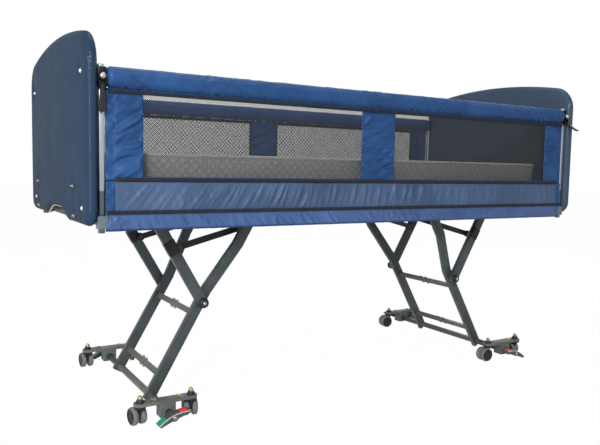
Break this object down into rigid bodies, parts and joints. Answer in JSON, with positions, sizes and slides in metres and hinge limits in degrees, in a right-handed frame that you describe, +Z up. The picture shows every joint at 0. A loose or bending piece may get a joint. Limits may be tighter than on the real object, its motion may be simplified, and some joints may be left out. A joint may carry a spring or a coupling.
{
  "type": "pediatric hospital cot",
  "caption": "Full-length hospital cot with padded end boards, net drop sides and a mattress on folding leg sets with castered, braked carriages.",
  "frame": {"origin": "on the floor under the middle of the bed", "axes": "+X towards the foot end, +Y towards the far side, +Z up"},
  "size_m": [2.1702, 1.0478, 1.2702],
  "materials": {
    "slate_paint": "satin charcoal powder coat",
    "black_paint": "black enamel",
    "zinc_rod": "bright zinc",
    "aluminium": "satin anodised",
    "navy_vinyl": "padded semi-gloss vinyl",
    "blue_nylon": "coated royal blue nylon",
    "slate_nylon": "gathered coated nylon",
    "black_net": "fine black netting",
    "grey_ticking": "quilted grey knit ticking",
    "deck_plastic": "moulded",
    "black_plastic": "moulded",
    "tread_rubber": "soft grey tread"
  },
  "bodies": {
    "bed_frame": {"mattress_deck": "deck_plastic", "mattress": "grey_ticking", "head_end_beam": "slate_paint", "head_board": "navy_vinyl", "head_actuator": "black_plastic", "foot_end_beam": "slate_paint", "foot_board": "navy_vinyl", "foot_actuator": "black_plastic", "near_side_rail": "slate_paint", "near_skirt": "slate_nylon", "near_panel_cloth": "blue_nylon", "near_panel_net": "black_net", "near_head_post": "aluminium", "near_foot_post": "aluminium", "far_side_rail": "slate_paint", "far_skirt": "slate_nylon", "far_panel_cloth": "blue_nylon", "far_panel_net": "black_net", "far_head_post": "aluminium", "far_foot_post": "aluminium"},
    "near_drop_rail": {"near_top_rail": "aluminium", "near_rail_pad": "blue_nylon"},
    "near_head_lever": {"near_head_lever": "black_plastic"},
    "near_foot_lever": {"near_foot_lever": "black_plastic"},
    "far_drop_rail": {"far_top_rail": "aluminium", "far_rail_pad": "blue_nylon"},
    "far_head_lever": {"far_head_lever": "black_plastic"},
    "far_foot_lever": {"far_foot_lever": "black_plastic"},
    "head_link": {"head_link_frame": "slate_paint"},
    "head_legs": {"head_leg_frame": "slate_paint"},
    "head_push": {"head_push_frame": "black_paint"},
    "head_rod": {"head_actuator_rod": "zinc_rod"},
    "head_near_carriage": {"head_near_carriage": "slate_paint"},
    "head_near_pedal": {"head_near_pedal": "black_plastic"},
    "head_near_outer_caster": {"head_near_outer_caster_fork": "black_plastic"},
    "head_near_outer_wheels": {"head_near_outer_wheels": "tread_rubber"},
    "head_near_inner_caster": {"head_near_inner_caster_fork": "black_plastic"},
    "head_near_inner_wheels": {"head_near_inner_wheels": "tread_rubber"},
    "head_far_carriage": {"head_far_carriage": "slate_paint"},
    "head_far_pedal": {"head_far_pedal": "black_plastic"},
    "head_far_outer_caster": {"head_far_outer_caster_fork": "black_plastic"},
    "head_far_outer_wheels": {"head_far_outer_wheels": "tread_rubber"},
    "head_far_inner_caster": {"head_far_inner_caster_fork": "black_plastic"},
    "head_far_inner_wheels": {"head_far_inner_wheels": "tread_rubber"},
    "foot_link": {"foot_link_frame": "slate_paint"},
    "foot_legs": {"foot_leg_frame": "slate_paint"},
    "foot_push": {"foot_push_frame": "black_paint"},
    "foot_rod": {"foot_actuator_rod": "zinc_rod"},
    "foot_near_carriage": {"foot_near_carriage": "slate_paint"},
    "foot_near_pedal": {"foot_near_pedal": "black_plastic"},
    "foot_near_outer_caster": {"foot_near_outer_caster_fork": "black_plastic"},
    "foot_near_outer_wheels": {"foot_near_outer_wheels": "tread_rubber"},
    "foot_near_inner_caster": {"foot_near_inner_caster_fork": "black_plastic"},
    "foot_near_inner_wheels": {"foot_near_inner_wheels": "tread_rubber"},
    "foot_far_carriage": {"foot_far_carriage": "slate_paint"},
    "foot_far_pedal": {"foot_far_pedal": "black_plastic"},
    "foot_far_outer_caster": {"foot_far_outer_caster_fork": "black_plastic"},
    "foot_far_outer_wheels": {"foot_far_outer_wheels": "tread_rubber"},
    "foot_far_inner_caster": {"foot_far_inner_caster_fork": "black_plastic"},
    "foot_far_inner_wheels": {"foot_far_inner_wheels": "tread_rubber"}
  },
  "joints": [
    {"name": "near_rail_drop", "type": "slide", "parent": "bed_frame", "child": "near_drop_rail", "axis": [0, 0, -1], "range_m": [0, 0.25], "deforming": ["near_panel_cloth", "near_panel_net"]},
    {"name": "near_head_lever_swing", "type": "hinge", "parent": "near_drop_rail", "child": "near_head_lever", "pos_m": [-1.03, -0.4605, 1.07319], "axis": [-1, 0, 0], "range_deg": [0, 70]},
    {"name": "near_foot_lever_swing", "type": "hinge", "parent": "near_drop_rail", "child": "near_foot_lever", "pos_m": [1.03, -0.4605, 1.07319], "axis": [-1, 0, 0], "range_deg": [-59, 11]},
    {"name": "far_rail_drop", "type": "slide", "parent": "bed_frame", "child": "far_drop_rail", "axis": [0, 0, -1], "range_m": [0, 0.25], "deforming": ["far_panel_cloth", "far_panel_net"]},
    {"name": "far_head_lever_swing", "type": "hinge", "parent": "far_drop_rail", "child": "far_head_lever", "pos_m": [-1.03, 0.4605, 1.07319], "axis": [1, 0, 0], "range_deg": [0, 70]},
    {"name": "far_foot_lever_swing", "type": "hinge", "parent": "far_drop_rail", "child": "far_foot_lever", "pos_m": [1.03, 0.4605, 1.07319], "axis": [1, 0, 0], "range_deg": [-59, 11]},
    {"name": "head_lift", "type": "hinge", "parent": "bed_frame", "child": "head_link", "pos_m": [-0.8, 0, 0.67739], "axis": [0, -1, 0], "range_deg": [0, 41]},
    {"name": "head_leg_fold", "type": "hinge", "parent": "head_link", "child": "head_legs", "pos_m": [-0.616, 0, 0.3587], "axis": [0, -1, 0], "range_deg": [-82, 0]},
    {"name": "head_push_swing", "type": "hinge", "parent": "head_link", "child": "head_push", "pos_m": [-0.70765, 0, 0.55919], "axis": [0, -1, 0], "range_deg": [-54, 0]},
    {"name": "head_rod_slide", "type": "slide", "parent": "bed_frame", "child": "head_rod", "axis": [1, 0, 0], "range_m": [0, 0.075]},
    {"name": "head_near_level", "type": "hinge", "parent": "head_legs", "child": "head_near_carriage", "pos_m": [-0.8, -0.354, 0.04], "axis": [0, -1, 0], "range_deg": [0, 41]},
    {"name": "head_near_pedal_rock", "type": "hinge", "parent": "head_near_carriage", "child": "head_near_pedal", "pos_m": [-0.8, -0.42, 0.04], "axis": [0, 1, 0], "range_deg": [0, 38]},
    {"name": "head_near_outer_swivel", "type": "hinge", "parent": "head_near_carriage", "child": "head_near_outer_caster", "pos_m": [-0.888, -0.354, 0.06], "axis": [0, 0, 1], "continuous": true},
    {"name": "head_near_outer_spin", "type": "hinge", "parent": "head_near_outer_caster", "child": "head_near_outer_wheels", "pos_m": [-0.89147, -0.3343, 0.03], "axis": [-0.9848, -0.1736, 0], "continuous": true},
    {"name": "head_near_inner_swivel", "type": "hinge", "parent": "head_near_carriage", "child": "head_near_inner_caster", "pos_m": [-0.712, -0.354, 0.06], "axis": [0, 0, 1], "continuous": true},
    {"name": "head_near_inner_spin", "type": "hinge", "parent": "head_near_inner_caster", "child": "head_near_inner_wheels", "pos_m": [-0.70853, -0.3343, 0.03], "axis": [-0.9848, 0.1736, 0], "continuous": true},
    {"name": "head_far_level", "type": "hinge", "parent": "head_legs", "child": "head_far_carriage", "pos_m": [-0.8, 0.354, 0.04], "axis": [0, -1, 0], "range_deg": [0, 41]},
    {"name": "head_far_pedal_rock", "type": "hinge", "parent": "head_far_carriage", "child": "head_far_pedal", "pos_m": [-0.8, 0.42, 0.04], "axis": [0, 1, 0], "range_deg": [0, 38]},
    {"name": "head_far_outer_swivel", "type": "hinge", "parent": "head_far_carriage", "child": "head_far_outer_caster", "pos_m": [-0.888, 0.354, 0.06], "axis": [0, 0, 1], "continuous": true},
    {"name": "head_far_outer_spin", "type": "hinge", "parent": "head_far_outer_caster", "child": "head_far_outer_wheels", "pos_m": [-0.88974, 0.37392, 0.03], "axis": [-0.9962, -0.0872, 0], "continuous": true},
    {"name": "head_far_inner_swivel", "type": "hinge", "parent": "head_far_carriage", "child": "head_far_inner_caster", "pos_m": [-0.712, 0.354, 0.06], "axis": [0, 0, 1], "continuous": true},
    {"name": "head_far_inner_spin", "type": "hinge", "parent": "head_far_inner_caster", "child": "head_far_inner_wheels", "pos_m": [-0.71026, 0.37392, 0.03], "axis": [-0.9962, 0.0872, 0], "continuous": true},
    {"name": "foot_lift", "type": "hinge", "parent": "bed_frame", "child": "foot_link", "pos_m": [0.8, 0, 0.67739], "axis": [0, 1, 0], "range_deg": [0, 41]},
    {"name": "foot_leg_fold", "type": "hinge", "parent": "foot_link", "child": "foot_legs", "pos_m": [0.616, 0, 0.3587], "axis": [0, 1, 0], "range_deg": [-82, 0]},
    {"name": "foot_push_swing", "type": "hinge", "parent": "foot_link", "child": "foot_push", "pos_m": [0.70765, 0, 0.55919], "axis": [0, 1, 0], "range_deg": [-54, 0]},
    {"name": "foot_rod_slide", "type": "slide", "parent": "bed_frame", "child": "foot_rod", "axis": [-1, 0, 0], "range_m": [0, 0.075]},
    {"name": "foot_near_level", "type": "hinge", "parent": "foot_legs", "child": "foot_near_carriage", "pos_m": [0.8, -0.354, 0.04], "axis": [0, 1, 0], "range_deg": [0, 41]},
    {"name": "foot_near_pedal_rock", "type": "hinge", "parent": "foot_near_carriage", "child": "foot_near_pedal", "pos_m": [0.8, -0.42, 0.04], "axis": [0, -1, 0], "range_deg": [0, 38]},
    {"name": "foot_near_outer_swivel", "type": "hinge", "parent": "foot_near_carriage", "child": "foot_near_outer_caster", "pos_m": [0.888, -0.354, 0.06], "axis": [0, 0, 1], "continuous": true},
    {"name": "foot_near_outer_spin", "type": "hinge", "parent": "foot_near_outer_caster", "child": "foot_near_outer_wheels", "pos_m": [0.88453, -0.3343, 0.03], "axis": [-0.9848, -0.1736, 0], "continuous": true},
    {"name": "foot_near_inner_swivel", "type": "hinge", "parent": "foot_near_carriage", "child": "foot_near_inner_caster", "pos_m": [0.712, -0.354, 0.06], "axis": [0, 0, 1], "continuous": true},
    {"name": "foot_near_inner_spin", "type": "hinge", "parent": "foot_near_inner_caster", "child": "foot_near_inner_wheels", "pos_m": [0.69208, -0.35226, 0.03], "axis": [-0.0872, -0.9962, 0], "continuous": true},
    {"name": "foot_far_level", "type": "hinge", "parent": "foot_legs", "child": "foot_far_carriage", "pos_m": [0.8, 0.354, 0.04], "axis": [0, 1, 0], "range_deg": [0, 41]},
    {"name": "foot_far_pedal_rock", "type": "hinge", "parent": "foot_far_carriage", "child": "foot_far_pedal", "pos_m": [0.8, 0.42, 0.04], "axis": [0, -1, 0], "range_deg": [0, 38]},
    {"name": "foot_far_outer_swivel", "type": "hinge", "parent": "foot_far_carriage", "child": "foot_far_outer_caster", "pos_m": [0.888, 0.354, 0.06], "axis": [0, 0, 1], "continuous": true},
    {"name": "foot_far_outer_spin", "type": "hinge", "parent": "foot_far_outer_caster", "child": "foot_far_outer_wheels", "pos_m": [0.89147, 0.3737, 0.03], "axis": [-0.9848, 0.1736, 0], "continuous": true},
    {"name": "foot_far_inner_swivel", "type": "hinge", "parent": "foot_far_carriage", "child": "foot_far_inner_caster", "pos_m": [0.712, 0.354, 0.06], "axis": [0, 0, 1], "continuous": true},
    {"name": "foot_far_inner_spin", "type": "hinge", "parent": "foot_far_inner_caster", "child": "foot_far_inner_wheels", "pos_m": [0.6923, 0.35747, 0.03], "axis": [-0.1736, -0.9848, 0], "continuous": true}
  ],
  "couplings": [
    {"joint": "head_leg_fold", "follows": "head_lift", "ratio": -2},
    {"joint": "head_push_swing", "follows": "head_lift", "ratio": -1.3073},
    {"joint": "head_rod_slide", "follows": "head_lift", "m_per_rad": 0.1034},
    {"joint": "head_near_level", "follows": "head_lift", "ratio": 1},
    {"joint": "head_far_level", "follows": "head_lift", "ratio": 1},
    {"joint": "foot_leg_fold", "follows": "foot_lift", "ratio": -2},
    {"joint": "foot_push_swing", "follows": "foot_lift", "ratio": -1.3073},
    {"joint": "foot_rod_slide", "follows": "foot_lift", "m_per_rad": 0.1034},
    {"joint": "foot_near_level", "follows": "foot_lift", "ratio": 1},
    {"joint": "foot_far_level", "follows": "foot_lift", "ratio": 1}
  ]
}
